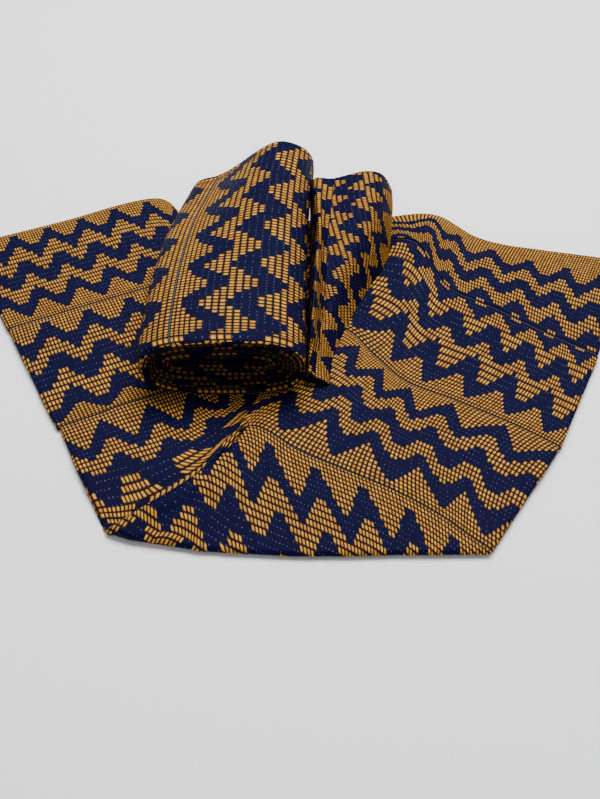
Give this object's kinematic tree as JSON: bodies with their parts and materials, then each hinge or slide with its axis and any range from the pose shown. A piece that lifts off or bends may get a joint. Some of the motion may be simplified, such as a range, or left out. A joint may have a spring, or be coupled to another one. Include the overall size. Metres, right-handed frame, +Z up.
{
  "type": "kente cloth",
  "caption": "Strip-woven kente cloth in navy and gold zigzags, its far end wound into a loose flat roll that lies on the spread, doubled near end.",
  "frame": {"origin": "centre of the box's underside, on the surface that the cloth lies on", "axes": "+X to the right along the spread cloth, +Y away from the front fold, +Z up"},
  "size_m": [0.5198, 0.349, 0.0647],
  "materials": {
    "kente_weave": "woven, navy and gold zigzags, dry with a faint thread sheen"
  },
  "bodies": {
    "root": {"strip_1": "kente_weave", "strip_2": "kente_weave", "strip_3": "kente_weave", "strip_4": "kente_weave", "roll": "kente_weave", "loose_turn": "kente_weave"}
  },
  "joints": []
}
